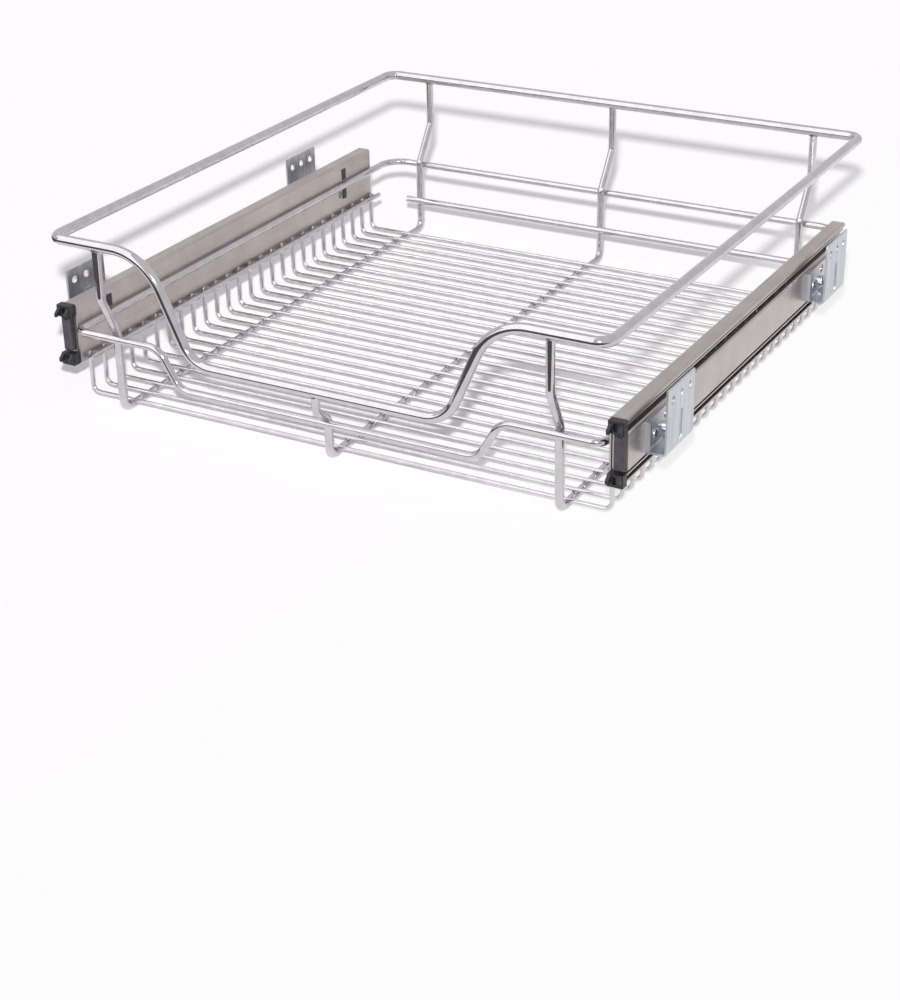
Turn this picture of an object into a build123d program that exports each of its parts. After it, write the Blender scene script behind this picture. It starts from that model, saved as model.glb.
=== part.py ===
from build123d import *
from math import radians, tan
import os

# A pull out basket for a kitchen cabinet: a welded wire basket carried between two
# telescopic ball slides that are bracketed to the cabinet's sides. Millimetres, +Z up.
# X runs across the cabinet, -Y is the way the basket pulls out, and Z = 0 is the
# underside of the basket's frame wires. The origin is below the middle of the rim.

# ---- Driving dimensions ----------------------------------------------------------

# Rim, the thick closed wire at the top
rim_side_overhang = 3.8
rim_front_overhang = 13.5
rim_back_overhang = 46.5
rim_height = 129.5
rim_wire = 7.5
rim_corner_radius = 10.0
rim_dip_half_width = 131.5
rim_dip_clearance = 25.5
rim_dip_slope = 66.0
rim_dip_upper_radius = 40.0
rim_dip_lower_radius = 25.0

# Mid rail, the thinner loop that is welded along both slides
mid_wire = 5.5
mid_rise = 4.7
mid_front_corner_radius = 8.0
mid_back_corner_radius = 18.0
mid_dip_half_width = 133.0
mid_dip_drop = 28.5
mid_dip_slope = 60.0
mid_dip_radius = 15.0

# Frame wires, the three U-shaped wires that hang from the rim
frame_wire = 6.0
frame_side_inset = 34.2
front_inset = 14.0
back_inset = 20.0
step_clearance = 3.5
step_rise = 29.0
dip_step_clearance = 1.0
dip_step_rise = 11.0
frame_bend_radius = 8.0

# Back rail and side rails
back_wire = 5.5
back_rail_height = 29.5
back_rail_overhang = 10.0
side_wire = 4.0
side_rail_rise = 3.5
side_rail_overhang = 6.0
wire_end_rounding = 0.9

# Cross wires, the floor and the low side walls
cross_wire = 3.0
cross_count = 26
cross_front_gap = 8.5
cross_back_gap = 2.5
cross_bend_radius = 6.0
cross_weld_height = 7.0

# Slides, three nested channels on each side
slide_width = 412.4
slide_length = 400.0
slide_height = 45.0
slide_centre_height = 53.8
slide_thickness = 12.7
slide_steel = 1.2
slide_bend_radius = 1.8
drawer_lip_height = 2.6
drawer_lip_gap = 1.3
web_gap = 0.8
middle_edge_gap = 2.3
end_gap = 0.3
cabinet_flange_depth = 8.1

# Balls and the strips that hold them
ball_diameter = 3.0
ball_clearance = 0.15
balls_in_row = 10
ball_pitch = 19.0
cage_steel = 0.4
cage_setback = 1.5
cage_hole_clearance = 0.2
cage_web_clearance = 0.2

# Black plastic pieces
bumper_length = 18.0
bumper_nose = 4.5
bumper_chamfer = 1.1
bumper_clearance = 0.3
plug_length = 12.0
plug_nose = 6.0
plug_tongue_depth = 6.5
plug_slot_width = 2.5
plug_slot_height = 5.3
plug_slot_inset = 5.0
window_length = 5.0
window_height = 9.0
window_gap = 1.0
window_front_setback = 37.0
window_back_setback = 42.5
insert_proud = 0.6

# Brackets
bracket_reach = 15.1
bracket_length = 42.0
bracket_steel = 1.5
bracket_bend_radius = 2.5
bracket_base_height = 21.5
bracket_plate_height = 44.8
bracket_lip = 4.0
front_bracket_setback = 46.0
rear_bracket_setback = 66.0
bracket_hole = 5.5
bracket_hole_pitch = 13.3
bracket_hole_edge = 8.5
bracket_rib_width = 7.0
bracket_rib_depth = 0.8
bracket_rib_height = 22.0
relief_hole = 6.5
relief_setback = 12.6
relief_rise = 5.4

# Screws that hold the brackets to the slides
screw_shank = 4.0
screw_clearance = 0.1
front_screw_setback = 10.5
front_screw_drop = 1.1
rear_screw_setback = 12.6
rear_screw_drop = 3.9
screw_head = 7.5
screw_head_height = 2.4
screw_tail = 1.6
screw_cross_length = 4.2
screw_cross_width = 1.0
screw_cross_depth = 1.3

# Wires are sunk into each other this far at a weld
weld = 0.3

# A hole's cutter goes this many walls deep, so that it comes out on the other side
cutter_walls = 3.0

# ---- Places worked out from the dimensions ---------------------------------------

sides = {"left": -1, "right": 1}
slide_face = slide_width / 2
rim_depth = rim_front_overhang + slide_length + rim_back_overhang
rim_front = -rim_depth / 2
rim_back = rim_depth / 2
rim_half = slide_face + rim_side_overhang

mid_height = slide_centre_height + mid_rise
mid_low = mid_height - mid_dip_drop
rim_low = mid_low + rim_dip_clearance
rim_dip_drop = rim_height - rim_low

frame_offset = slide_face - frame_side_inset
frame_front = rim_front + front_inset
frame_back = rim_back - back_inset
frame_floor = frame_wire / 2
step_bottom = mid_height + step_clearance
step_top = step_bottom + step_rise
dip_step_bottom = mid_low + dip_step_clearance
dip_step_top = dip_step_bottom + dip_step_rise

slide_front = rim_front + rim_front_overhang
slide_back = slide_front + slide_length
slide_middle = slide_front + slide_length / 2
slide_bottom = slide_centre_height - slide_height / 2

drawer_half = slide_height / 2
drawer_depth = slide_thickness - drawer_lip_gap
middle_near = slide_steel + web_gap
ball_gap = ball_diameter + 2 * ball_clearance
middle_half = drawer_half - slide_steel - ball_gap
middle_far = slide_thickness - middle_edge_gap
cabinet_half = middle_half - slide_steel - ball_gap
cabinet_near = slide_thickness - cabinet_flange_depth

mid_half = slide_face - mid_wire / 2 + weld
mid_front = frame_front - frame_wire / 2 - mid_wire / 2 + weld
mid_back = frame_back + frame_wire / 2 + mid_wire / 2 - weld

cross_half = slide_face - cross_wire / 2 + weld
cross_floor = frame_wire + cross_wire / 2 - weld
cross_front = slide_front + cross_front_gap
cross_back = slide_back - cross_back_gap
cross_pitch = (cross_back - cross_front) / (cross_count - 1)

side_half = cross_half - cross_wire / 2 - side_wire / 2 + weld
side_height = slide_bottom + side_rail_rise

bracket_far = slide_thickness + bracket_reach
bracket_bottom = -bracket_base_height / 2
bracket_top = bracket_bottom + bracket_plate_height
bracket_places = {"front": slide_front + front_bracket_setback, "rear": slide_back - rear_bracket_setback}
screw_places = [
    (front_screw_setback - bracket_length / 2, -front_screw_drop),
    (bracket_length / 2 - rear_screw_setback, -rear_screw_drop),
]
relief_place = (bracket_length / 2 - relief_setback, relief_rise)


def slope_run(drop, slope):
    """The sideways run of a straight slope that drops this far."""
    return drop / tan(radians(slope))


def dipped_loop(half, front, back, height, dip_half, drop, slope):
    """Corners of a closed loop that dips at the front, round from the back left."""
    low_half = dip_half - slope_run(drop, slope)
    low = height - drop
    return [
        (-half, back, height),
        (-half, front, height),
        (-dip_half, front, height),
        (-low_half, front, low),
        (low_half, front, low),
        (dip_half, front, height),
        (half, front, height),
        (half, back, height),
    ]


def across(side, depth):
    """X of a point that lies this deep in a slide, measured from the basket's side."""
    return side * (slide_face + depth)


def section(side, points):
    """Sketch points of a slide's cross-section, in the plane that faces the front."""
    return [(across(side, depth), slide_centre_height + height) for depth, height in points]


def save(part, name):
    """Label a finished piece and write it to its own file."""
    part.label = name
    export_step(part, "parts/" + name + ".step")


os.makedirs("parts", exist_ok=True)

# ---- The welded basket -----------------------------------------------------------

with BuildPart() as rim:
    with BuildLine() as rim_path:
        rim_corners = dipped_loop(
            rim_half, rim_front, rim_back, rim_height, rim_dip_half_width, rim_dip_drop, rim_dip_slope
        )
        rim_radii = [
            rim_corner_radius,
            rim_corner_radius,
            rim_dip_upper_radius,
            rim_dip_lower_radius,
            rim_dip_lower_radius,
            rim_dip_upper_radius,
            rim_corner_radius,
            rim_corner_radius,
        ]
        FilletPolyline(*rim_corners, radius=rim_radii, close=True)
    with BuildSketch(Plane(origin=(0, rim_back, rim_height), z_dir=(1, 0, 0))):
        Circle(rim_wire / 2)
    sweep(path=rim_path.wires()[0])
save(rim.part, "rim_wire")

with BuildPart() as mid:
    with BuildLine() as mid_path:
        mid_corners = dipped_loop(
            mid_half, mid_front, mid_back, mid_height, mid_dip_half_width, mid_dip_drop, mid_dip_slope
        )
        mid_radii = [
            mid_back_corner_radius,
            mid_front_corner_radius,
            mid_dip_radius,
            mid_dip_radius,
            mid_dip_radius,
            mid_dip_radius,
            mid_front_corner_radius,
            mid_back_corner_radius,
        ]
        FilletPolyline(*mid_corners, radius=mid_radii, close=True)
    with BuildSketch(Plane(origin=(0, mid_back, mid_height), z_dir=(1, 0, 0))):
        Circle(mid_wire / 2)
    sweep(path=mid_path.wires()[0])
save(mid.part, "mid_rail_wire")

# The back rail is a straight wire on the inner side of the frame wires.
back_rail_y = frame_back - frame_wire / 2 - back_wire / 2 + weld
back_rail_half = frame_offset + back_rail_overhang
with BuildPart() as back_rail:
    with BuildSketch(Plane(origin=(-back_rail_half, back_rail_y, back_rail_height), z_dir=(1, 0, 0))):
        Circle(back_wire / 2)
    extrude(amount=2 * back_rail_half)
    fillet(back_rail.edges().filter_by(GeomType.CIRCLE), radius=wire_end_rounding)
save(back_rail.part, "back_rail_wire")

# Each frame wire hangs from the rim, steps inwards and passes under the floor. The
# middle one is short at the front, where the rim dips.
rim_underside = rim_height - rim_wire / 2 + weld
dip_underside = rim_low - rim_wire / 2 + weld
frame_fronts = {
    "left": (-frame_offset, rim_underside, step_top, step_bottom),
    "centre": (0, dip_underside, dip_step_top, dip_step_bottom),
    "right": (frame_offset, rim_underside, step_top, step_bottom),
}
for name, (x, front_top, front_step_top, front_step_bottom) in frame_fronts.items():
    with BuildPart() as frame:
        with BuildLine() as frame_path:
            FilletPolyline(
                (x, rim_front, front_top),
                (x, rim_front, front_step_top),
                (x, frame_front, front_step_bottom),
                (x, frame_front, frame_floor),
                (x, frame_back, frame_floor),
                (x, frame_back, step_bottom),
                (x, rim_back, step_top),
                (x, rim_back, rim_underside),
                radius=frame_bend_radius,
            )
        with BuildSketch(Plane(origin=(x, rim_front, front_top), z_dir=(0, 0, -1))):
            Circle(frame_wire / 2)
        sweep(path=frame_path.wires()[0])
    save(frame.part, "frame_wire_" + name)

# A side rail ties the tops of the cross wires, along the bottom edge of each slide.
side_rail_length = slide_length - cross_front_gap + cross_wire + side_rail_overhang
for name, side in sides.items():
    side_rail_start = (side * side_half, cross_front - cross_wire, side_height)
    with BuildPart() as side_rail:
        with BuildSketch(Plane(origin=side_rail_start, z_dir=(0, 1, 0))):
            Circle(side_wire / 2)
        extrude(amount=side_rail_length)
        fillet(side_rail.edges().filter_by(GeomType.CIRCLE), radius=wire_end_rounding)
    save(side_rail.part, "side_rail_wire_" + name)

# The cross wires lie on the frame wires, turn up at both ends and are welded to the
# slides and the side rails.
cross_top = slide_bottom + cross_weld_height
for i in range(cross_count):
    y = cross_front + i * cross_pitch
    with BuildPart() as cross:
        with BuildLine() as cross_path:
            FilletPolyline(
                (-cross_half, y, cross_top),
                (-cross_half, y, cross_floor),
                (cross_half, y, cross_floor),
                (cross_half, y, cross_top),
                radius=cross_bend_radius,
            )
        with BuildSketch(Plane(origin=(-cross_half, y, cross_top), z_dir=(0, 0, -1))):
            Circle(cross_wire / 2)
        sweep(path=cross_path.wires()[0])
    save(cross.part, f"cross_wire_{i + 1:02d}")

# ---- The slides ------------------------------------------------------------------

# Each pair of windows in the drawer member's web has one above the mid rail wire and
# one below it.
window_rows = [slide_front + window_front_setback, slide_back - window_back_setback]
window_offset = mid_wire / 2 + window_gap + window_height / 2
window_heights = [mid_height - window_offset, mid_height + window_offset]
window_places = [(y, z) for y in window_rows for z in window_heights]

for name, side in sides.items():
    slide_plane = Plane.XZ.offset(-slide_back)
    inner_plane = Plane.XZ.offset(-(slide_back - end_gap))
    inner_length = slide_length - 2 * end_gap
    inward = Side.LEFT if side > 0 else Side.RIGHT

    # The drawer member is the tall channel, with its web on the basket's side and
    # a lip along each flange that keeps the balls in.
    with BuildPart() as drawer:
        with BuildSketch(slide_plane):
            with BuildLine():
                FilletPolyline(
                    *section(side, [
                        (drawer_depth, drawer_half - drawer_lip_height),
                        (drawer_depth, drawer_half),
                        (0, drawer_half),
                        (0, -drawer_half),
                        (drawer_depth, -drawer_half),
                        (drawer_depth, -drawer_half + drawer_lip_height),
                    ]),
                    radius=slide_bend_radius,
                )
                offset(amount=slide_steel, side=inward)
            make_face()
        extrude(amount=slide_length)
        for y, z in window_places:
            with Locations((across(side, slide_steel / 2), y, z)):
                Box(cutter_walls * slide_steel, window_length, window_height, mode=Mode.SUBTRACT)
    save(drawer.part, "drawer_member_" + name)

    # The middle member runs between the other two.
    with BuildPart() as middle:
        with BuildSketch(inner_plane):
            with BuildLine():
                FilletPolyline(
                    *section(side, [
                        (middle_far, middle_half),
                        (middle_near, middle_half),
                        (middle_near, -middle_half),
                        (middle_far, -middle_half),
                    ]),
                    radius=slide_bend_radius,
                )
                offset(amount=slide_steel, side=inward)
            make_face()
        extrude(amount=inner_length)
    save(middle.part, "middle_member_" + name)

    # The cabinet member is the smallest channel, and opens towards the basket.
    with BuildPart() as cabinet:
        with BuildSketch(inner_plane):
            with BuildLine():
                FilletPolyline(
                    *section(side, [
                        (cabinet_near, -cabinet_half),
                        (slide_thickness, -cabinet_half),
                        (slide_thickness, cabinet_half),
                        (cabinet_near, cabinet_half),
                    ]),
                    radius=slide_bend_radius,
                )
                offset(amount=slide_steel, side=inward)
            make_face()
        extrude(amount=inner_length)
        for bracket_y in bracket_places.values():
            for y, z in screw_places:
                hole_place = (across(side, slide_thickness), bracket_y + y, slide_centre_height + z)
                with Locations(Plane(origin=hole_place, z_dir=(side, 0, 0))):
                    Hole(screw_shank / 2 + screw_clearance, depth=cutter_walls * slide_steel)
    save(cabinet.part, "cabinet_member_" + name)

    # Each cage is a bent strip with a row of holes at the top and one at the bottom.
    outer_row = middle_half + ball_gap / 2
    inner_row = cabinet_half + ball_gap / 2
    cages = {
        "outer": (outer_row, slide_steel + cage_web_clearance, middle_far - cage_setback),
        "inner": (inner_row, middle_near + slide_steel + cage_web_clearance, middle_far - cage_setback),
    }
    cage_length = balls_in_row * ball_pitch
    for kind, (row, web_near, strip_far) in cages.items():
        row_depth = (web_near + cage_steel + strip_far) / 2
        ball_places = [
            (across(side, row_depth), slide_middle + (i - (balls_in_row - 1) / 2) * ball_pitch, z)
            for i in range(balls_in_row)
            for z in (slide_centre_height - row, slide_centre_height + row)
        ]
        with BuildPart() as cage:
            with BuildSketch(Plane.XZ.offset(-(slide_middle + cage_length / 2))):
                with BuildLine():
                    Polyline(
                        *section(side, [
                            (strip_far, row + cage_steel / 2),
                            (web_near, row + cage_steel / 2),
                            (web_near, -row - cage_steel / 2),
                            (strip_far, -row - cage_steel / 2),
                        ])
                    )
                    offset(amount=cage_steel, side=inward)
                make_face()
            extrude(amount=cage_length)
            with Locations(*ball_places):
                Cylinder(
                    ball_diameter / 2 + cage_hole_clearance, cutter_walls * cage_steel, mode=Mode.SUBTRACT
                )
        save(cage.part, f"{kind}_ball_cage_{name}")
        with BuildPart() as balls:
            with Locations(*ball_places):
                Sphere(ball_diameter / 2)
        save(balls.part, f"{kind}_balls_{name}")

    # The front bumper is a plastic block in the front end of the cabinet member.
    bumper_near = cabinet_near - bumper_clearance
    bumper_half = cabinet_half - slide_steel
    bumper_front = slide_front + end_gap - bumper_nose
    with BuildPart() as bumper:
        with BuildSketch(Plane.XZ.offset(-(bumper_front + bumper_length))):
            with BuildLine():
                Polyline(
                    *section(side, [
                        (bumper_near, bumper_half),
                        (slide_thickness - slide_steel, bumper_half),
                        (slide_thickness - slide_steel, -bumper_half),
                        (bumper_near, -bumper_half),
                    ]),
                    close=True,
                )
            make_face()
        extrude(amount=bumper_length)
        chamfer(bumper.faces().sort_by(Axis.Y)[0].edges(), length=bumper_chamfer)
        fillet(bumper.edges().filter_by(Axis.Y), radius=slide_bend_radius - slide_steel)
    save(bumper.part, "front_bumper_" + name)

    # The race plugs close the front ends of the two ball races: a tongue lies inside
    # the flange and a slotted nose stands in front of the slide.
    plug_inner = slide_steel + cage_web_clearance
    tongue_top = drawer_half - slide_steel
    tongue_bottom = middle_half + ball_clearance
    nose_bottom = cabinet_half + bumper_clearance
    tongue_near = slide_thickness / 2 - plug_tongue_depth / 2
    with BuildPart() as plugs:
        for up in (-1, 1):
            with BuildSketch(Plane.XZ.offset(-(slide_front + plug_length))):
                with BuildLine():
                    Polyline(
                        *section(side, [
                            (tongue_near, up * tongue_bottom),
                            (tongue_near + plug_tongue_depth, up * tongue_bottom),
                            (tongue_near + plug_tongue_depth, up * tongue_top),
                            (tongue_near, up * tongue_top),
                        ]),
                        close=True,
                    )
                make_face()
            extrude(amount=plug_length)
            with BuildSketch(Plane.XZ.offset(-slide_front)):
                with BuildLine():
                    Polyline(
                        *section(side, [
                            (plug_inner, up * nose_bottom),
                            (slide_thickness - bumper_clearance, up * nose_bottom),
                            (slide_thickness - bumper_clearance, up * drawer_half),
                            (plug_inner, up * drawer_half),
                        ]),
                        close=True,
                    )
                make_face()
            extrude(amount=plug_nose)
            slot_place = (
                across(side, plug_inner + plug_slot_inset),
                slide_front - plug_nose,
                slide_centre_height + up * (nose_bottom + drawer_half) / 2,
            )
            with Locations(slot_place):
                Box(plug_slot_width, plug_nose, plug_slot_height, mode=Mode.SUBTRACT)
    save(plugs.part, "race_plugs_" + name)

    # The stop inserts are plastic pieces pressed into the drawer member's windows.
    with BuildPart() as inserts:
        for y, z in window_places:
            with Locations((across(side, (slide_steel - insert_proud) / 2), y, z)):
                Box(slide_steel + insert_proud, window_length, window_height)
    save(inserts.part, "stop_inserts_" + name)

    # ---- Brackets and their screws -----------------------------------------------

    # Each bracket is one strip bent twice: its base is screwed to the cabinet member
    # and its outer plate lies flat against the cabinet's side.
    base_top = bracket_bottom + bracket_base_height
    for place, bracket_y in bracket_places.items():
        with BuildPart() as bracket:
            with BuildSketch(Plane.XZ.offset(-(bracket_y + bracket_length / 2))):
                with BuildLine():
                    FilletPolyline(
                        *section(side, [
                            (slide_thickness, base_top),
                            (slide_thickness, bracket_bottom),
                            (bracket_far, bracket_bottom),
                            (bracket_far, bracket_top),
                        ]),
                        radius=bracket_bend_radius,
                    )
                    offset(amount=bracket_steel, side=inward)
                make_face()
            extrude(amount=bracket_length)
            lip_place = (
                across(side, slide_thickness + bracket_lip / 2),
                bracket_y - bracket_length / 2 + bracket_steel / 2,
                slide_centre_height,
            )
            with Locations(lip_place):
                Box(bracket_lip, bracket_steel, bracket_base_height)
            rib_z = slide_centre_height + bracket_bottom + bracket_steel + bracket_bend_radius
            rib_place = (
                across(side, bracket_far - bracket_steel - bracket_rib_depth / 2),
                bracket_y,
                rib_z + bracket_rib_height / 2,
            )
            groove_place = (across(side, bracket_far), bracket_y, rib_z + bracket_rib_height / 2)
            with Locations(rib_place):
                Box(bracket_rib_depth, bracket_rib_width, bracket_rib_height)
            with Locations(groove_place):
                Box(
                    2 * bracket_rib_depth,
                    bracket_rib_width - 2 * bracket_rib_depth,
                    bracket_rib_height - 2 * bracket_rib_depth,
                    mode=Mode.SUBTRACT,
                )
            hole_centre = (
                across(side, bracket_far), bracket_y, slide_centre_height + bracket_top - bracket_hole_edge
            )
            with Locations(Plane(origin=hole_centre, x_dir=(0, 1, 0), z_dir=(side, 0, 0))):
                with GridLocations(bracket_hole_pitch, 1, 3, 1):
                    Hole(bracket_hole / 2, depth=cutter_walls * bracket_steel)
            base_face = across(side, slide_thickness + bracket_steel)
            for y, z in screw_places:
                hole_place = (base_face, bracket_y + y, slide_centre_height + z)
                with Locations(Plane(origin=hole_place, z_dir=(side, 0, 0))):
                    Hole(screw_shank / 2 + screw_clearance, depth=cutter_walls * bracket_steel)
            relief_centre = (base_face, bracket_y + relief_place[0], slide_centre_height + relief_place[1])
            with Locations(Plane(origin=relief_centre, z_dir=(side, 0, 0))):
                Hole(relief_hole / 2, depth=bracket_steel)
        save(bracket.part, f"{place}_bracket_{name}")

    with BuildPart() as screws:
        for bracket_y in bracket_places.values():
            for y, z in screw_places:
                head_seat = (
                    across(side, slide_thickness + bracket_steel),
                    bracket_y + y,
                    slide_centre_height + z,
                )
                with BuildSketch(Plane(origin=head_seat, z_dir=(side, 0, 0))):
                    Circle(screw_head / 2)
                extrude(amount=screw_head_height)
                with BuildSketch(Plane(origin=head_seat, z_dir=(-side, 0, 0))):
                    Circle(screw_shank / 2)
                extrude(amount=bracket_steel + slide_steel + screw_tail)
                head_top = Plane(origin=head_seat, z_dir=(side, 0, 0)).offset(screw_head_height)
                with BuildSketch(head_top):
                    Rectangle(screw_cross_length, screw_cross_width)
                    Rectangle(screw_cross_width, screw_cross_length)
                extrude(amount=-screw_cross_depth, mode=Mode.SUBTRACT)
        outer_rims = screws.edges().filter_by(GeomType.CIRCLE).group_by(Axis.X)
        fillet(outer_rims[-1 if side > 0 else 0], radius=screw_head_height / 2)
    save(screws.part, "bracket_screws_" + name)
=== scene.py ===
import math
import random

import bmesh
import bpy
from mathutils import Matrix, Vector


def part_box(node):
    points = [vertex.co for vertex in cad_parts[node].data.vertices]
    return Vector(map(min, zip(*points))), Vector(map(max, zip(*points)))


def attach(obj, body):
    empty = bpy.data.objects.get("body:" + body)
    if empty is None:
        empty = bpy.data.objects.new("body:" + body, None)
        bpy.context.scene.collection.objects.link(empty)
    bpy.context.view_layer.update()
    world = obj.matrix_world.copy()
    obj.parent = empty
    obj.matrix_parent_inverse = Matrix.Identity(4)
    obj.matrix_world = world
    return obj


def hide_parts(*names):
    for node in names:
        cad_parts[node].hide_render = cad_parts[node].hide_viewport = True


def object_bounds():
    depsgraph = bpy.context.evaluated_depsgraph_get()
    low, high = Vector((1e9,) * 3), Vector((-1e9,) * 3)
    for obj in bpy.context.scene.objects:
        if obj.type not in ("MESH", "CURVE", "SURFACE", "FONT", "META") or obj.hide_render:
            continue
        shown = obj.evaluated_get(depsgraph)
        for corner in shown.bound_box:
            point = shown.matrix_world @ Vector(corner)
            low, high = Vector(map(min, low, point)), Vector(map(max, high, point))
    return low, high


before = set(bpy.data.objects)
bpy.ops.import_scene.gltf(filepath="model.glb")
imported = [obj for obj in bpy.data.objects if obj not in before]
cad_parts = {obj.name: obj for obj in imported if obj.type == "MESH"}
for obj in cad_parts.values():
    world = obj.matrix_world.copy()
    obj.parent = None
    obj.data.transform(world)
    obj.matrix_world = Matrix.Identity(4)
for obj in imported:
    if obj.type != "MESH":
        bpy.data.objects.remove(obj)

cad_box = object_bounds()

# ---- Rim ---------------------------------------------------------------------------
# The rim is one thick round steel wire, bent into a closed loop that dips at the front.
# It is polished and chrome plated together with the rest of the basket, so it mirrors
# what is round it, a little dulled by a fine orange peel and by haze in the plating.

MM = 0.001
rim_wire = 7.5 * MM
rim_corner_radius = 10 * MM
rim_dip_half_width = 131.5 * MM
rim_dip_slope = math.radians(66)
rim_dip_upper_radius = 40 * MM
rim_dip_lower_radius = 25 * MM
bend_step = math.radians(5)
wire_roundness = 6


def linear(colour):
    """Turn an sRGB hex colour into linear red, green, blue and alpha."""
    shares = [int(colour[i:i + 2], 16) / 255 for i in (0, 2, 4)]
    return [s / 12.92 if s <= 0.04045 else ((s + 0.055) / 1.055) ** 2.4 for s in shares] + [1.0]


def feed(tree, node, inputs):
    """Set a node's inputs. Each is a value or another node's socket."""
    for name, value in inputs.items():
        if isinstance(value, bpy.types.NodeSocket):
            tree.links.new(value, node.inputs[name])
        else:
            node.inputs[name].default_value = value


def add_node(tree, kind, inputs=None, stops=(), **settings):
    """Add a shader node with its settings, its inputs and, on a colour ramp, its stops."""
    node = tree.nodes.new("ShaderNode" + kind)
    for name, value in settings.items():
        setattr(node, name, value)
    feed(tree, node, inputs or {})
    for i, (place, colour) in enumerate(stops):
        elements = node.color_ramp.elements
        element = elements[i] if i < len(elements) else elements.new(place)
        element.position = place
        element.color = linear(colour)
    return node


def new_material(name):
    """A plain material, with its node tree and its surface."""
    material = bpy.data.materials.new(name)
    material.use_nodes = True
    return material, material.node_tree, material.node_tree.nodes["Principled BSDF"]


def chrome_plate(name, dark, light, dullest, sharpest):
    """Chrome on polished wire: a neutral mirror, a little dulled by haze and orange peel."""
    material, tree, surface = new_material(name)
    place = add_node(tree, "TexCoord").outputs["Object"]
    haze_size = 9 * MM
    # Real orange peel is finer. It is drawn just coarse enough to show on a wire.
    peel_size = 0.9 * MM
    peel_depth = 0.03 * MM
    haze = add_node(tree, "TexNoise", {"Vector": place, "Scale": 1 / haze_size, "Detail": 4.0})
    peel = add_node(tree, "TexNoise", {"Vector": place, "Scale": 1 / peel_size, "Detail": 2.0})
    tint = add_node(tree, "ValToRGB", {"Fac": haze.outputs["Fac"]}, [(0.35, dark), (0.65, light)])
    dullness = add_node(tree, "MapRange", {
        "Value": haze.outputs["Fac"],
        "From Min": 0.3,
        "From Max": 0.7,
        "To Min": sharpest,
        "To Max": dullest,
    })
    relief = add_node(tree, "Bump", {
        "Height": peel.outputs["Fac"],
        "Strength": 0.12,
        "Distance": peel_depth,
    })
    feed(tree, surface, {
        "Base Color": tint.outputs["Color"],
        "Roughness": dullness.outputs["Result"],
        "Normal": relief.outputs["Normal"],
        "Metallic": 1.0,
    })
    return material


chrome = chrome_plate("bright_chrome_plate", "c5c2c5", "d0cdd0", dullest=0.11, sharpest=0.05)


def bent_line(corners, radii, closed=False):
    """Points of a line that goes round its corners on arcs, as a wire does when it is bent."""
    points = []
    count = len(corners)
    for i, corner in enumerate(corners):
        corner = Vector(corner)
        if not closed and i in (0, count - 1):
            points.append(corner)
            continue
        before = (Vector(corners[i - 1]) - corner).normalized()
        after = (Vector(corners[(i + 1) % count]) - corner).normalized()
        turn = math.pi - before.angle(after)
        reach = radii[i] * math.tan(turn / 2)
        centre = corner + (before + after).normalized() * radii[i] / math.cos(turn / 2)
        start = corner + before * reach - centre
        axis = before.cross(after)
        steps = max(2, math.ceil(turn / bend_step))
        for j in range(steps + 1):
            points.append(centre + Matrix.Rotation(-turn * j / steps, 3, axis) @ start)
    return points


def round_wire(name, points, diameter, material, closed=False):
    """A round wire along a line of points. An open one has capped ends."""
    curve = bpy.data.curves.new(name, "CURVE")
    curve.dimensions = "3D"
    curve.bevel_depth = diameter / 2
    curve.bevel_resolution = wire_roundness
    curve.use_fill_caps = not closed
    spline = curve.splines.new("POLY")
    spline.points.add(len(points) - 1)
    for place, point in zip(spline.points, points):
        place.co = (*point, 1)
    spline.use_cyclic_u = closed
    spline.use_smooth = True
    wire = bpy.data.objects.new(name, curve)
    wire.data.materials.append(material)
    bpy.context.scene.collection.objects.link(wire)
    return wire


def basket_wire(wire, node):
    """A wire of the welded basket stands for its CAD node and moves with the basket."""
    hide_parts(node)
    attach(wire, "basket")


def dipped_loop(low, high, diameter, dip_half_width, dip_slope):
    """Corners of a closed wire loop that dips at the front, fitted into a node's box."""
    left, front, dip = (value + diameter / 2 for value in low)
    right, back, top = (value - diameter / 2 for value in high)
    low_half_width = dip_half_width - (top - dip) / math.tan(dip_slope)
    return [
        (left, back, top),
        (left, front, top),
        (-dip_half_width, front, top),
        (-low_half_width, front, dip),
        (low_half_width, front, dip),
        (dip_half_width, front, top),
        (right, front, top),
        (right, back, top),
    ]


rim_low, rim_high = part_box("rim_wire")
rim_corners = dipped_loop(rim_low, rim_high, rim_wire, rim_dip_half_width, rim_dip_slope)
half_rim_radii = [rim_corner_radius, rim_corner_radius, rim_dip_upper_radius, rim_dip_lower_radius]
rim_line = bent_line(rim_corners, half_rim_radii + half_rim_radii[::-1], closed=True)
rim = round_wire("rim", rim_line, rim_wire, chrome, closed=True)
basket_wire(rim, "rim_wire")

# ---- Mid rail ----------------------------------------------------------------------
# A thinner wire loop below the rim, with a shallower dip of its own. It runs along the
# inner face of both slides and is spot welded there, which is what carries the basket.

mid_wire = 5.5 * MM
mid_front_corner_radius = 8 * MM
mid_back_corner_radius = 18 * MM
mid_dip_half_width = 133 * MM
mid_dip_slope = math.radians(60)
mid_dip_radius = 15 * MM

mid_low, mid_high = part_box("mid_rail_wire")
mid_corners = dipped_loop(mid_low, mid_high, mid_wire, mid_dip_half_width, mid_dip_slope)
half_mid_radii = [mid_back_corner_radius, mid_front_corner_radius, mid_dip_radius, mid_dip_radius]
mid_line = bent_line(mid_corners, half_mid_radii + half_mid_radii[::-1], closed=True)
mid_rail = round_wire("mid_rail", mid_line, mid_wire, chrome, closed=True)
basket_wire(mid_rail, "mid_rail_wire")

# ---- Frame wires -------------------------------------------------------------------
# Three U-shaped wires hang from the rim, step inwards past the mid rail and pass under
# the floor as the basket's feet. They are the same drawn wire, bent and butt welded to
# the underside of the rim.

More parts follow.
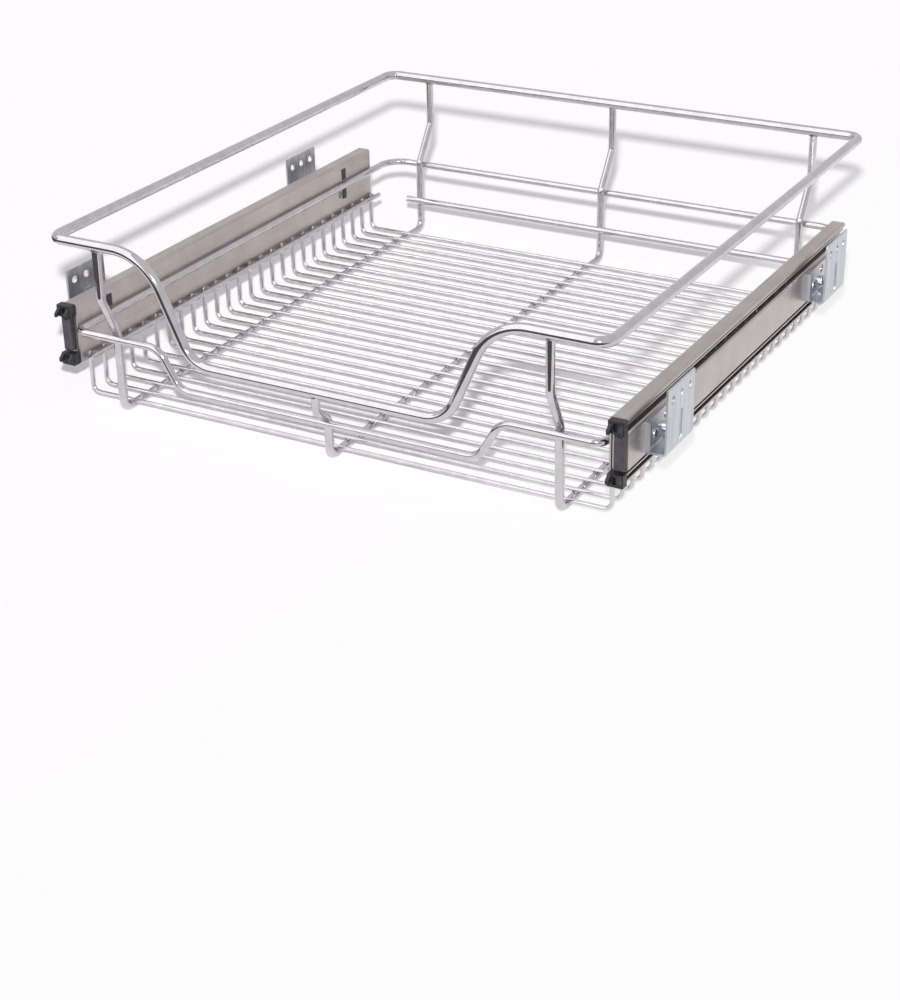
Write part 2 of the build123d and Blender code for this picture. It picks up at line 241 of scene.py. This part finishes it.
frame_wire = 6 * MM
frame_bend_radius = 8 * MM
front_inset = 14 * MM
back_inset = 20 * MM
step_top = 91 * MM
step_bottom = 62 * MM
dip_step_top = 42 * MM
dip_step_bottom = 31 * MM
weld_sink = 0.3 * MM

rim_front = rim_low.y + rim_wire / 2
rim_back = rim_high.y - rim_wire / 2
frame_front = rim_front + front_inset
frame_back = rim_back - back_inset
frame_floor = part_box("frame_wire_left")[0].z + frame_wire / 2
rim_underside = rim_high.z - rim_wire + weld_sink
dip_underside = rim_low.z + weld_sink

frame_places = {}
for name in ("left", "centre", "right"):
    low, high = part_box("frame_wire_" + name)
    x = (low.x + high.x) / 2
    frame_places[name] = x
    in_dip = name == "centre"
    front_top = dip_underside if in_dip else rim_underside
    front_step_top = dip_step_top if in_dip else step_top
    front_step_bottom = dip_step_bottom if in_dip else step_bottom
    frame_corners = [
        (x, rim_front, front_top),
        (x, rim_front, front_step_top),
        (x, frame_front, front_step_bottom),
        (x, frame_front, frame_floor),
        (x, frame_back, frame_floor),
        (x, frame_back, step_bottom),
        (x, rim_back, step_top),
        (x, rim_back, rim_underside),
    ]
    frame_line = bent_line(frame_corners, [frame_bend_radius] * len(frame_corners))
    basket_wire(round_wire(name + "_frame", frame_line, frame_wire, chrome), "frame_wire_" + name)

# ---- Back rail and side rails ------------------------------------------------------
# The back rail is a straight length of wire that keeps things from sliding out behind.
# A thinner straight wire along each side ties the tops of the cross wires together.

back_wire = 5.5 * MM
side_wire = 4 * MM


def straight_wire(name, node, diameter):
    """A straight wire along the longest side of its node's box. Returns its middle."""
    low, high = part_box(node)
    middle = (low + high) / 2
    spans = high - low
    longest = max(range(3), key=lambda axis: spans[axis])
    start, end = middle.copy(), middle.copy()
    start[longest] = low[longest]
    end[longest] = high[longest]
    basket_wire(round_wire(name, [start, end], diameter, chrome), node)
    return middle


back_rail = straight_wire("back_rail", "back_rail_wire", back_wire)
side_rails = {}
for side in ("left", "right"):
    side_rails[side] = straight_wire(side + "_side_rail", "side_rail_wire_" + side, side_wire)

# ---- Cross wires -------------------------------------------------------------------
# The floor is a row of thin wires that lie on the frame wires and turn up at both ends,
# where they are welded to the slide and the side rail. They are rougher than the thick
# ones, and paler as a painted reflection: their colour stands for a brighter mirror image.

cross_wire = 3 * MM
cross_bend_radius = 6 * MM

# Painted reflection: a paler copy of the chrome, so that these thin wires mirror more brightly.
paler_painted_chrome = chrome_plate("pale_chrome_plate", "c8c5c9", "d8d5d9", dullest=0.22, sharpest=0.12)
cross_rows = []
for node in sorted(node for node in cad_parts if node.startswith("cross_wire_")):
    low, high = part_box(node)
    y = (low.y + high.y) / 2
    left = low.x + cross_wire / 2
    right = high.x - cross_wire / 2
    floor = low.z + cross_wire / 2
    cross_rows.append(y)
    cross_corners = [(left, y, high.z), (left, y, floor), (right, y, floor), (right, y, high.z)]
    cross_line = bent_line(cross_corners, [cross_bend_radius] * len(cross_corners))
    basket_wire(round_wire(node.replace("wire_", ""), cross_line, cross_wire, paler_painted_chrome), node)

# ---- Welds -------------------------------------------------------------------------
# Every crossing is resistance welded: the two wires sink into each other and squeeze out
# a small bead, which the plating covers but leaves duller, with a brownish heat tint.
# Each kind of bead has its extents along X, Y and Z, and no two are quite alike.

floor_bead = (4.4 * MM, 4.0 * MM, 1.3 * MM)
side_bead = (1.6 * MM, 9.0 * MM, 4.2 * MM)
rim_bead = (7.2 * MM, 6.2 * MM, 1.8 * MM)
mid_bead = (5.6 * MM, 1.6 * MM, 5.0 * MM)
back_bead = (5.4 * MM, 1.4 * MM, 4.6 * MM)
bead_smallest = 0.85
bead_largest = 1.15
weld_seed = 7


def weld_plate():
    """Plating over a weld: greyer and rougher than on the wire, with a warm tint."""
    material, tree, surface = new_material("plated_weld")
    place = add_node(tree, "TexCoord").outputs["Object"]
    # The grain of a weld is finer than this. It is drawn as coarse as a bead can show.
    grain_size = 0.8 * MM
    grain_depth = 0.1 * MM
    grain = add_node(tree, "TexNoise", {"Vector": place, "Scale": 1 / grain_size, "Detail": 3.0})
    tint = add_node(tree, "ValToRGB", {"Fac": grain.outputs["Fac"]}, [(0.35, "645b5e"), (0.7, "9d989b")])
    relief = add_node(tree, "Bump", {
        "Height": grain.outputs["Fac"],
        "Strength": 0.5,
        "Distance": grain_depth,
    })
    feed(tree, surface, {
        "Base Color": tint.outputs["Color"],
        "Roughness": 0.3,
        "Normal": relief.outputs["Normal"],
        "Metallic": 1.0,
    })
    return material


weld_skin = weld_plate()
weld_shapes = random.Random(weld_seed)


def round_beads(name, places, size, material):
    """One mesh of small squashed beads on the basket."""
    mesh = bmesh.new()
    for place in places:
        spread = [extent * weld_shapes.uniform(bead_smallest, bead_largest) / 2 for extent in size]
        shape = Matrix.Translation(place) @ Matrix.Diagonal((*spread, 1))
        bmesh.ops.create_icosphere(mesh, subdivisions=2, radius=1, matrix=shape)
    for face in mesh.faces:
        face.smooth = True
    data = bpy.data.meshes.new(name)
    mesh.to_mesh(data)
    mesh.free()
    beads = bpy.data.objects.new(name, data)
    beads.data.materials.append(material)
    bpy.context.scene.collection.objects.link(beads)
    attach(beads, "basket")


def weld_beads(name, places, size):
    """The beads squeezed out of a row of welds."""
    round_beads(name, places, size, weld_skin)


frame_top = frame_floor + frame_wire / 2
for name, x in frame_places.items():
    weld_beads(name + "_floor_welds", [(x, y, frame_top) for y in cross_rows], floor_bead)
for side, middle in side_rails.items():
    outward = -1 if side == "left" else 1
    outer_face = middle.x + outward * side_wire / 2
    weld_beads(side + "_side_rail_welds", [(outer_face, y, middle.z) for y in cross_rows], side_bead)

rim_joints = []
mid_joints = []
back_joints = []
for name, x in frame_places.items():
    front_under = dip_underside if name == "centre" else rim_underside
    mid_front_height = mid_low.z if name == "centre" else mid_high.z - mid_wire
    rim_joints += [(x, rim_front, front_under), (x, rim_back, rim_underside)]
    mid_joints += [
        (x, frame_front - frame_wire / 2, mid_front_height + mid_wire / 2),
        (x, frame_back + frame_wire / 2, mid_high.z - mid_wire / 2),
    ]
    back_joints.append((x, frame_back - frame_wire / 2, back_rail.z))
weld_beads("rim_welds", rim_joints, rim_bead)
weld_beads("mid_rail_welds", mid_joints, mid_bead)
weld_beads("back_rail_welds", back_joints, back_bead)

# ---- Slides ------------------------------------------------------------------------
# Each slide is three nested channels, roll formed from cold rolled steel strip and plated:
# a satin, slightly warm grey with fine streaks along the way it was rolled. In the gaps
# run the ball cages, pressed from thinner and darker strip.


def dress(material, slot, *nodes):
    """Give CAD nodes that are shown as they are a material."""
    for node in nodes:
        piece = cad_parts[node]
        piece.data.materials.clear()
        piece.data.materials.append(material)


def rolled_plate(name, dark, light, streak_width, dullest, sharpest):
    """Plated strip steel: satin metal with faint streaks along the rolling direction, Y."""
    material, tree, surface = new_material(name)
    place = add_node(tree, "TexCoord").outputs["Object"]
    # Rolling lines are finer than the streaks here, which are as wide as they need to show.
    streak_length = 90 * MM
    streak_depth = 0.02 * MM
    cloud_size = 25 * MM
    stretch = (1 / streak_width, 1 / streak_length, 1 / streak_width)
    rolled = add_node(tree, "Mapping", {"Vector": place, "Scale": stretch}).outputs["Vector"]
    streaks = add_node(tree, "TexNoise", {"Vector": rolled, "Scale": 1.0, "Detail": 4.0})
    clouds = add_node(tree, "TexNoise", {"Vector": place, "Scale": 1 / cloud_size, "Detail": 3.0})
    both = {0: streaks.outputs["Fac"], 1: clouds.outputs["Fac"]}
    blend = add_node(tree, "Math", both, operation="ADD")
    halved = add_node(tree, "Math", {0: blend.outputs["Value"], 1: 0.5}, operation="MULTIPLY")
    tint = add_node(tree, "ValToRGB", {"Fac": halved.outputs["Value"]}, [(0.36, dark), (0.64, light)])
    dullness = add_node(tree, "MapRange", {
        "Value": streaks.outputs["Fac"],
        "From Min": 0.3,
        "From Max": 0.7,
        "To Min": sharpest,
        "To Max": dullest,
    })
    relief = add_node(tree, "Bump", {
        "Height": streaks.outputs["Fac"],
        "Strength": 0.25,
        "Distance": streak_depth,
    })
    feed(tree, surface, {
        "Base Color": tint.outputs["Color"],
        "Roughness": dullness.outputs["Result"],
        "Normal": relief.outputs["Normal"],
        "Metallic": 1.0,
    })
    return material


slide_plate = rolled_plate(
    "satin_plated_strip", "b4aca9", "c6bebb", streak_width=0.7 * MM, dullest=0.42, sharpest=0.3
)
cage_plate = rolled_plate(
    "plated_cage_strip", "8f8b89", "a8a4a2", streak_width=0.4 * MM, dullest=0.35, sharpest=0.25
)
for side in ("left", "right"):
    dress(slide_plate, "plated_steel", "drawer_member_" + side)
    dress(slide_plate, "plated_steel", "middle_member_" + side)
    dress(slide_plate, "plated_steel", "cabinet_member_" + side)
    dress(cage_plate, "plated_steel", "outer_ball_cage_" + side)
    dress(cage_plate, "plated_steel", "inner_ball_cage_" + side)

# ---- Cage dimples ------------------------------------------------------------------
# A round dimple is pressed into the drawer member's web in front of its rear window. It
# stops the inner cage. It is coloured darker than the web, as painted shade in its hollow.

dimple_size = (0.9 * MM, 6 * MM, 6 * MM)
dimple_setback = 9 * MM
window_half_height = 4.5 * MM

# Painted shade: the dimple's colour is darker than the web's and stands for the shade in its hollow.
dimple_shade_plate = rolled_plate(
    "burnished_strip", "7d7775", "98918f", streak_width=0.5 * MM, dullest=0.35, sharpest=0.25
)
for side in ("left", "right"):
    inner_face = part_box("drawer_member_" + side)[1 if side == "left" else 0].x
    insert_low, insert_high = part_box("stop_inserts_" + side)
    dimple = (inner_face, insert_high.y - dimple_setback, insert_low.z + window_half_height)
    round_beads(side + "_cage_dimple", [dimple], dimple_size, dimple_shade_plate)

# ---- Balls -------------------------------------------------------------------------
# The channels run on rows of balls in their cages. They are through-hardened bearing
# steel, ground and lapped to a mirror, under a smear of grease.


def lapped_steel():
    """Bearing balls: a dark, clear mirror with the faintest mottle of grease."""
    material, tree, surface = new_material("lapped_bearing_steel")
    place = add_node(tree, "TexCoord").outputs["Object"]
    smear_size = 1.2 * MM
    smear = add_node(tree, "TexNoise", {"Vector": place, "Scale": 1 / smear_size})
    tint = add_node(tree, "ValToRGB", {"Fac": smear.outputs["Fac"]}, [(0.4, "9a9b9e"), (0.6, "b4b5b8")])
    dullness = add_node(tree, "MapRange", {
        "Value": smear.outputs["Fac"],
        "To Min": 0.04,
        "To Max": 0.18,
    })
    feed(tree, surface, {
        "Base Color": tint.outputs["Color"],
        "Roughness": dullness.outputs["Result"],
        "Metallic": 1.0,
    })
    return material


ball_steel = lapped_steel()
for side in ("left", "right"):
    dress(ball_steel, "bearing_steel", "outer_balls_" + side, "inner_balls_" + side)

# ---- Black plastic pieces ----------------------------------------------------------
# The plugs at the ends of the ball races, the inserts in the drawer member's windows and
# the bumper are injection moulded acetal, satin from the mould, the bumper a shade greyer.


def moulded_acetal(name, dark, light):
    """Moulded acetal: a waxy black with a fine spark-eroded texture."""
    material, tree, surface = new_material(name)
    place = add_node(tree, "TexCoord").outputs["Object"]
    # The mould's texture is finer than this. It is drawn as coarse as it needs to show.
    texture_size = 0.35 * MM
    texture_depth = 0.04 * MM
    flow_size = 5 * MM
    texture = add_node(tree, "TexNoise", {"Vector": place, "Scale": 1 / texture_size, "Detail": 2.0})
    flow = add_node(tree, "TexNoise", {"Vector": place, "Scale": 1 / flow_size, "Detail": 3.0})
    tint = add_node(tree, "ValToRGB", {"Fac": flow.outputs["Fac"]}, [(0.35, dark), (0.7, light)])
    dullness = add_node(tree, "MapRange", {"Value": flow.outputs["Fac"], "To Min": 0.34, "To Max": 0.5})
    relief = add_node(tree, "Bump", {
        "Height": texture.outputs["Fac"],
        "Strength": 0.3,
        "Distance": texture_depth,
    })
    feed(tree, surface, {
        "Base Color": tint.outputs["Color"],
        "Roughness": dullness.outputs["Result"],
        "Normal": relief.outputs["Normal"],
    })
    return material


plug_acetal = moulded_acetal("black_acetal", "151416", "222024")
bumper_acetal = moulded_acetal("dark_grey_acetal", "353037", "423d44")
for side in ("left", "right"):
    dress(plug_acetal, "black_plastic", "race_plugs_" + side, "stop_inserts_" + side)
    dress(bumper_acetal, "black_plastic", "front_bumper_" + side)

# ---- Hooked lugs -------------------------------------------------------------------
# Each plug ends in two little hooked lugs, either side of its slot, that catch the slide's
# end stop. They are acetal too, moulded in one with the plug.

lug_width = 2.4 * MM
lug_reach = 3.8 * MM
lug_root = 6.4 * MM
lug_tip = 2.6 * MM
lug_spread = 3.9 * MM
nose_height = 11 * MM


def hooked_lugs(name, box):
    """Four wedges in front of a pair of plugs. Each droops a little towards its tip."""
    low, high = box
    mesh = bmesh.new()
    middle = (low.x + high.x) / 2
    for height in (low.z + nose_height / 2, high.z - nose_height / 2):
        profile = [
            (low.y, height + lug_root / 2),
            (low.y - lug_reach, height),
            (low.y - lug_reach, height - lug_tip),
            (low.y - lug_reach / 2, height - lug_tip / 2),
            (low.y, height - lug_root / 2),
        ]
        for x in (middle - lug_spread, middle + lug_spread):
            ends = []
            for edge in (x - lug_width / 2, x + lug_width / 2):
                ends.append([mesh.verts.new((edge, y, z)) for y, z in profile])
            mesh.faces.new(ends[0])
            mesh.faces.new(ends[1][::-1])
            for i in range(len(profile)):
                j = (i + 1) % len(profile)
                mesh.faces.new((ends[0][j], ends[0][i], ends[1][i], ends[1][j]))
    bmesh.ops.recalc_face_normals(mesh, faces=mesh.faces)
    data = bpy.data.meshes.new(name)
    mesh.to_mesh(data)
    mesh.free()
    lugs = bpy.data.objects.new(name, data)
    lugs.data.materials.append(plug_acetal)
    bpy.context.scene.collection.objects.link(lugs)
    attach(lugs, "basket")


for side in ("left", "right"):
    hooked_lugs(side + "_hooked_lugs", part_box("race_plugs_" + side))

# ---- Brackets ----------------------------------------------------------------------
# Each bracket is a short strip of mild steel, pierced, bent twice and zinc plated with a
# clear blue passivate, which leaves it pale and cool with cloudy, slightly rough patches.
# Its screws are plated the same way.


def blue_zinc():
    """Blue passivated zinc: pale cool metal, drained in faint upright bands as it dried."""
    material, tree, surface = new_material("blue_passivated_zinc")
    place = add_node(tree, "TexCoord").outputs["Object"]
    band_width = 3 * MM
    band_length = 40 * MM
    # The crystals of zinc are finer than this grit, which is as coarse as it needs to show.
    grit_size = 0.6 * MM
    grit_depth = 0.03 * MM
    stretch = (1 / band_width, 1 / band_width, 1 / band_length)
    drained = add_node(tree, "Mapping", {"Vector": place, "Scale": stretch}).outputs["Vector"]
    bands = add_node(tree, "TexNoise", {"Vector": drained, "Scale": 1.0, "Detail": 4.0})
    grit = add_node(tree, "TexNoise", {"Vector": place, "Scale": 1 / grit_size, "Detail": 3.0})
    zinc_stops = [(0.34, "bbbec5"), (0.5, "c8cbd1"), (0.66, "d6d8dc")]
    tint = add_node(tree, "ValToRGB", {"Fac": bands.outputs["Fac"]}, zinc_stops)
    dullness = add_node(tree, "MapRange", {
        "Value": bands.outputs["Fac"],
        "From Min": 0.3,
        "From Max": 0.7,
        "To Min": 0.28,
        "To Max": 0.42,
    })
    relief = add_node(tree, "Bump", {
        "Height": grit.outputs["Fac"],
        "Strength": 0.2,
        "Distance": grit_depth,
    })
    feed(tree, surface, {
        "Base Color": tint.outputs["Color"],
        "Roughness": dullness.outputs["Result"],
        "Normal": relief.outputs["Normal"],
        "Metallic": 1.0,
    })
    return material


zinc = blue_zinc()
for side in ("left", "right"):
    dress(zinc, "zinc_plate", "front_bracket_" + side, "rear_bracket_" + side, "bracket_screws_" + side)

# ---- Camera ------------------------------------------------------------------------
# The camera stands a metre and a half away, to the right of the front and 0.6 m up, and
# looks down on the basket through a long lens.

camera_place = Vector((0.6746, -1.2470, 0.5985))
camera_yaw = math.radians(29.460)
camera_pitch = math.radians(27.137)
camera_roll = math.radians(-1.077)
camera_lens = 72.96

camera_data = bpy.data.cameras.new("camera")
camera_data.lens = camera_lens
camera = bpy.data.objects.new("camera", camera_data)
turned = Matrix.Rotation(camera_yaw, 4, "Z") @ Matrix.Rotation(math.pi / 2 - camera_pitch, 4, "X")
camera.matrix_world = Matrix.Translation(camera_place) @ turned @ Matrix.Rotation(camera_roll, 4, "Z")
bpy.context.scene.collection.objects.link(camera)
bpy.context.scene.camera = camera

# ---- Lamp and surroundings ---------------------------------------------------------
# A small lamp just above the camera throws the soft shadows. The walls round the studio
# fill them in, and look lighter than the light that they give.

lamp_place = Vector((0.664, -1.257, 0.745))
lamp_size = 0.045
lamp_level = 1.3

lamp_data = bpy.data.lights.new("lamp", "POINT")
lamp_data.shadow_soft_size = lamp_size / 2
# A lamp that doesn't fade gives white that faces it a level of energy / (4 pi squared).
lamp_data.energy = 4 * math.pi ** 2 * lamp_level
lamp_data.use_nodes = True
lamp_tree = lamp_data.node_tree
even = add_node(lamp_tree, "LightFalloff", {"Strength": 1.0})
feed(lamp_tree, lamp_tree.nodes["Emission"], {"Strength": even.outputs["Constant"]})
lamp = bpy.data.objects.new("lamp", lamp_data)
lamp.location = lamp_place
bpy.context.scene.collection.objects.link(lamp)


def seen_ray(tree):
    """1 where a camera, mirror or glass ray looks, 0 for light that only falls on things."""
    path = add_node(tree, "LightPath")
    looking = {0: path.outputs["Is Camera Ray"], 1: path.outputs["Is Glossy Ray"]}
    either = add_node(tree, "Math", looking, operation="MAXIMUM")
    through = {0: either.outputs["Value"], 1: path.outputs["Is Transmission Ray"]}
    return add_node(tree, "Math", through, operation="MAXIMUM").outputs["Value"]


world = bpy.data.worlds.new("studio")
world.use_nodes = True
bpy.context.scene.world = world
world_tree = world.node_tree
wall_stops = [(0.0, "a19ca1"), (1.0, "e1dfe1")]
walls = add_node(world_tree, "ValToRGB", {"Fac": seen_ray(world_tree)}, wall_stops)
feed(world_tree, world_tree.nodes["Background"], {"Color": walls.outputs["Color"]})

# ---- Floor -------------------------------------------------------------------------
# The basket stands on matt white paint that reads as plain white. A share of that white is lit
# paint, which takes shadows, and the rest is painted glare that the floor itself gives off.
# Between fade_start and fade_end, across the basket, the share falls, so the shadow on the
# right drowns in the painted glare.

floor_half = 9.0
floor_gap = 0.1 * MM
floor_level = 0.98
fill_level = 0.35
lit_share_left = 0.85
lit_share_right = 0.1
fade_start = 50 * MM
fade_end = 220 * MM


def floor_paint():
    """White paint under a painted glare of its own that makes up what the slanting light of the lamp
    leaves out.
    """
    material, tree, surface = new_material("white_floor_paint")
    place = add_node(tree, "NewGeometry").outputs["Position"]
    reach = add_node(tree, "VectorMath", {0: place, 1: lamp_place}, operation="DISTANCE")
    slant = add_node(tree, "Math", {0: lamp_place.z, 1: reach.outputs["Value"]}, operation="DIVIDE")
    light_parts = {0: slant.outputs["Value"], 1: lamp_level, 2: fill_level}
    light = add_node(tree, "Math", light_parts, operation="MULTIPLY_ADD").outputs["Value"]
    share = add_node(tree, "MapRange", {
        "Value": add_node(tree, "SeparateXYZ", {"Vector": place}).outputs["X"],
        "From Min": fade_start,
        "From Max": fade_end,
        "To Min": lit_share_left,
        "To Max": lit_share_right,
    })
    wanted = add_node(tree, "Math", {0: share.outputs["Result"], 1: light}, operation="DIVIDE")
    palest = {0: wanted.outputs["Value"], 1: lit_share_left}
    paint = add_node(tree, "Math", palest, operation="MINIMUM")
    lit = add_node(tree, "Math", {0: paint.outputs["Value"], 1: light}, operation="MULTIPLY")
    rest = add_node(tree, "Math", {0: floor_level, 1: lit.outputs["Value"]}, operation="SUBTRACT")
    glare = add_node(tree, "Math", {0: seen_ray(tree), 1: rest.outputs["Value"]}, operation="MULTIPLY")
    feed(tree, surface, {
        "Base Color": paint.outputs["Value"],
        "Emission Strength": glare.outputs["Value"],
        "Emission Color": (1, 1, 1, 1),
        "Roughness": 1.0,
        "Specular IOR Level": 0.0,
    })
    return material


def studio_card(name, low, high, material):
    """A flat rectangle of the studio, given by opposite corners. It is no part of the basket."""
    left, front, bottom = low
    right, back, top = high
    corners = [(left, front, bottom), (right, front, bottom), (right, back, top), (left, back, top)]
    data = bpy.data.meshes.new(name)
    data.from_pydata(corners, [], [range(len(corners))])
    data.materials.append(material)
    card = bpy.data.objects.new(name, data)
    bpy.context.scene.collection.objects.link(card)
    return card


floor_height = cad_box[0].z - floor_gap
floor_low = (-floor_half, -floor_half, floor_height)
floor_high = (floor_half, floor_half, floor_height)
studio_card("floor", floor_low, floor_high, floor_paint())

# ---- Cards round the studio --------------------------------------------------------
# Chrome shows little but what is round it. A bright ceiling and window on the left give
# the wires their white upper sides, and a dark floor in front gives them a thin dark line.

room_left = -3.2
room_right = -0.2
room_front = -2.6
room_back = 0.25
room_height = 2.2
horizon = 0.2
bright_level = 1.6
table_left = -0.40
table_front = -0.38
table_right = 3.0
table_back = 0.1
above_floor = 3 * MM
dark_level = 0.11


def glowing_card(name, low, high, level):
    """A card that only mirrors see: it shapes the shine on the chrome and lights nothing."""
    material, tree, surface = new_material(name)
    tree.nodes.remove(surface)
    glow = add_node(tree, "Emission", {"Strength": level})
    feed(tree, tree.nodes["Material Output"], {"Surface": glow.outputs["Emission"]})
    card = studio_card(name, low, high, material)
    card.visible_camera = False
    card.visible_diffuse = False
    card.visible_shadow = False


ceiling_front = (room_left, room_front, room_height)
ceiling_back = (room_right, room_back, room_height)
glowing_card("ceiling", ceiling_front, ceiling_back, bright_level)
window_low = (room_left, room_front, horizon)
window_high = (room_right, room_front, room_height)
glowing_card("front_window", window_low, window_high, bright_level)
front_low = (room_left, room_front, above_floor)
front_high = (table_right, table_front, above_floor)
glowing_card("dark_front", front_low, front_high, dark_level)
left_low = (room_left, table_front, above_floor)
left_high = (table_left, table_back, above_floor)
glowing_card("dark_left", left_low, left_high, dark_level)
horizon_low = (room_left, room_front, 0.0)
horizon_high = (table_right, room_front, horizon)
glowing_card("dark_horizon", horizon_low, horizon_high, dark_level)

bpy.context.scene.view_settings.view_transform = "Standard"
